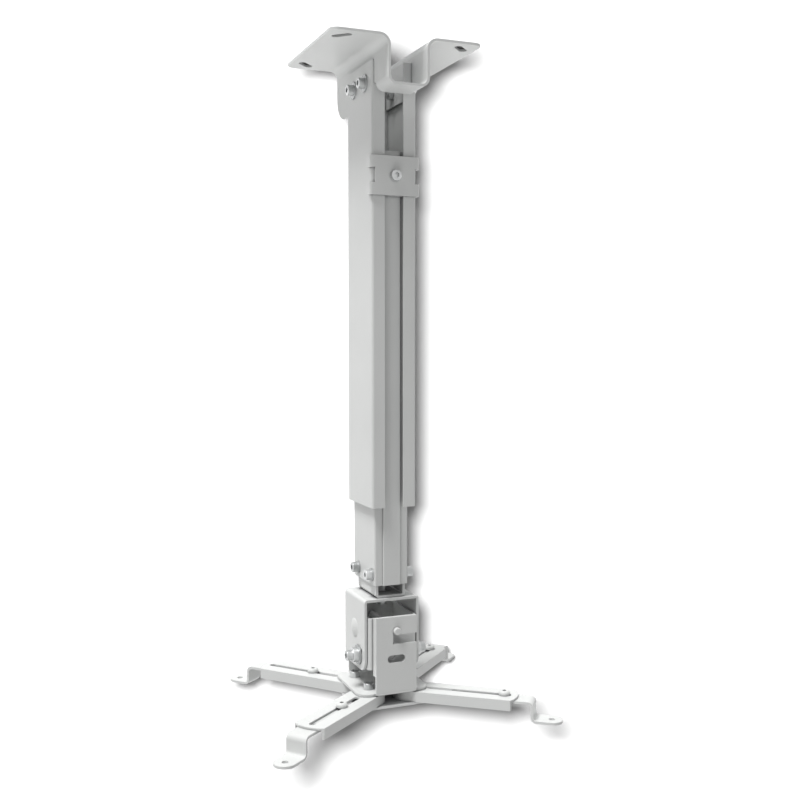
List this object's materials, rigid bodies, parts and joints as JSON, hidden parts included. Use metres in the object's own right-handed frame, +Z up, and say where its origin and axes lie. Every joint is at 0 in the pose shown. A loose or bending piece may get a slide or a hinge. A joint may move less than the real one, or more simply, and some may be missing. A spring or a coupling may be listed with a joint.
{
  "type": "projector ceiling mount",
  "caption": "Telescopic ceiling mount for a projector: a folded ceiling bracket, a slotted box tube with an inner tube, a swivel and tilt head and sliding arms with stepped feet.",
  "frame": {"origin": "centre of the four ceiling slots, in the ceiling face", "axes": "+Z up into the ceiling along the tubes; -Y the side with the tube's slot and the clamp; +X the right as seen from that side"},
  "size_m": [0.2415, 0.2183, 0.5418],
  "materials": {
    "powder_coat": "satin powder coat",
    "zinc": "bright zinc plate",
    "washer_zinc": "dull zinc plate",
    "coated_fixings": "coated over"
  },
  "bodies": {
    "ceiling_part": {"ceiling_bracket": "powder_coat", "outer_tube": "powder_coat", "top_bolts": "zinc", "top_washers": "washer_zinc", "top_nuts": "zinc"},
    "inner_part": {"inner_tube": "powder_coat", "clamp_plate": "powder_coat", "clamp_screw": "zinc", "clamp_nut_plate": "powder_coat", "neck_bracket": "powder_coat", "neck_bolts": "zinc", "neck_washers": "washer_zinc", "neck_nuts": "zinc"},
    "yoke_part": {"yoke": "powder_coat", "swivel_bolt": "zinc", "swivel_nut": "zinc"},
    "tilt_part": {"tilt_bracket": "powder_coat", "tilt_rivets": "coated_fixings", "tilt_lock_bolts": "zinc", "tilt_lock_washers": "washer_zinc", "tilt_lock_nuts": "zinc", "hook_pin": "coated_fixings"},
    "head_part": {"head_bracket": "powder_coat", "lower_hub_plate": "powder_coat", "arm_pivot_bolts": "zinc", "arm_pivot_nuts": "zinc"},
    "arm_front_left": {"arm_front_left": "powder_coat"},
    "foot_front_left": {"foot_front_left": "powder_coat", "foot_screw_front_left": "coated_fixings"},
    "arm_front_right": {"arm_front_right": "powder_coat"},
    "foot_front_right": {"foot_front_right": "powder_coat", "foot_screw_front_right": "coated_fixings"},
    "arm_back_left": {"arm_back_left": "powder_coat"},
    "foot_back_left": {"foot_back_left": "powder_coat", "foot_screw_back_left": "coated_fixings"},
    "arm_back_right": {"arm_back_right": "powder_coat"},
    "foot_back_right": {"foot_back_right": "powder_coat", "foot_screw_back_right": "coated_fixings"}
  },
  "joints": [
    {"name": "height_slide", "type": "slide", "parent": "ceiling_part", "child": "inner_part", "axis": [0, 0, 1], "range_m": [-0.15, 0.034]},
    {"name": "swivel", "type": "hinge", "parent": "inner_part", "child": "yoke_part", "pos_m": [0, 0, -0.44545], "axis": [0, 0, 1], "range_deg": [-180, 180]},
    {"name": "tilt", "type": "hinge", "parent": "yoke_part", "child": "tilt_part", "pos_m": [0, 0, -0.47345], "axis": [1, 0, 0], "range_deg": [-15, 15]},
    {"name": "roll", "type": "hinge", "parent": "tilt_part", "child": "head_part", "pos_m": [0, 0, -0.46995], "axis": [0, 1, 0], "range_deg": [-8, 8]},
    {"name": "arm_front_left_swing", "type": "hinge", "parent": "head_part", "child": "arm_front_left", "pos_m": [-0.018, -0.017, -0.52295], "axis": [0, 0, 1], "range_deg": [-25, 25]},
    {"name": "foot_front_left_slide", "type": "slide", "parent": "arm_front_left", "child": "foot_front_left", "axis": [-0.7771, -0.6293, 0], "range_m": [-0.02, 0.042]},
    {"name": "arm_front_right_swing", "type": "hinge", "parent": "head_part", "child": "arm_front_right", "pos_m": [0.018, -0.017, -0.52295], "axis": [0, 0, 1], "range_deg": [-25, 25]},
    {"name": "foot_front_right_slide", "type": "slide", "parent": "arm_front_right", "child": "foot_front_right", "axis": [0.788, -0.6157, 0], "range_m": [-0.03, 0.003]},
    {"name": "arm_back_left_swing", "type": "hinge", "parent": "head_part", "child": "arm_back_left", "pos_m": [-0.018, 0.017, -0.52295], "axis": [0, 0, 1], "range_deg": [-25, 25]},
    {"name": "foot_back_left_slide", "type": "slide", "parent": "arm_back_left", "child": "foot_back_left", "axis": [-0.6494, 0.7604, 0], "range_m": [-0.02, 0.042]},
    {"name": "arm_back_right_swing", "type": "hinge", "parent": "head_part", "child": "arm_back_right", "pos_m": [0.018, 0.017, -0.52295], "axis": [0, 0, 1], "range_deg": [-25, 25]},
    {"name": "foot_back_right_slide", "type": "slide", "parent": "arm_back_right", "child": "foot_back_right", "axis": [0.7254, 0.6884, 0], "range_m": [-0.03, 0.003]}
  ]
}
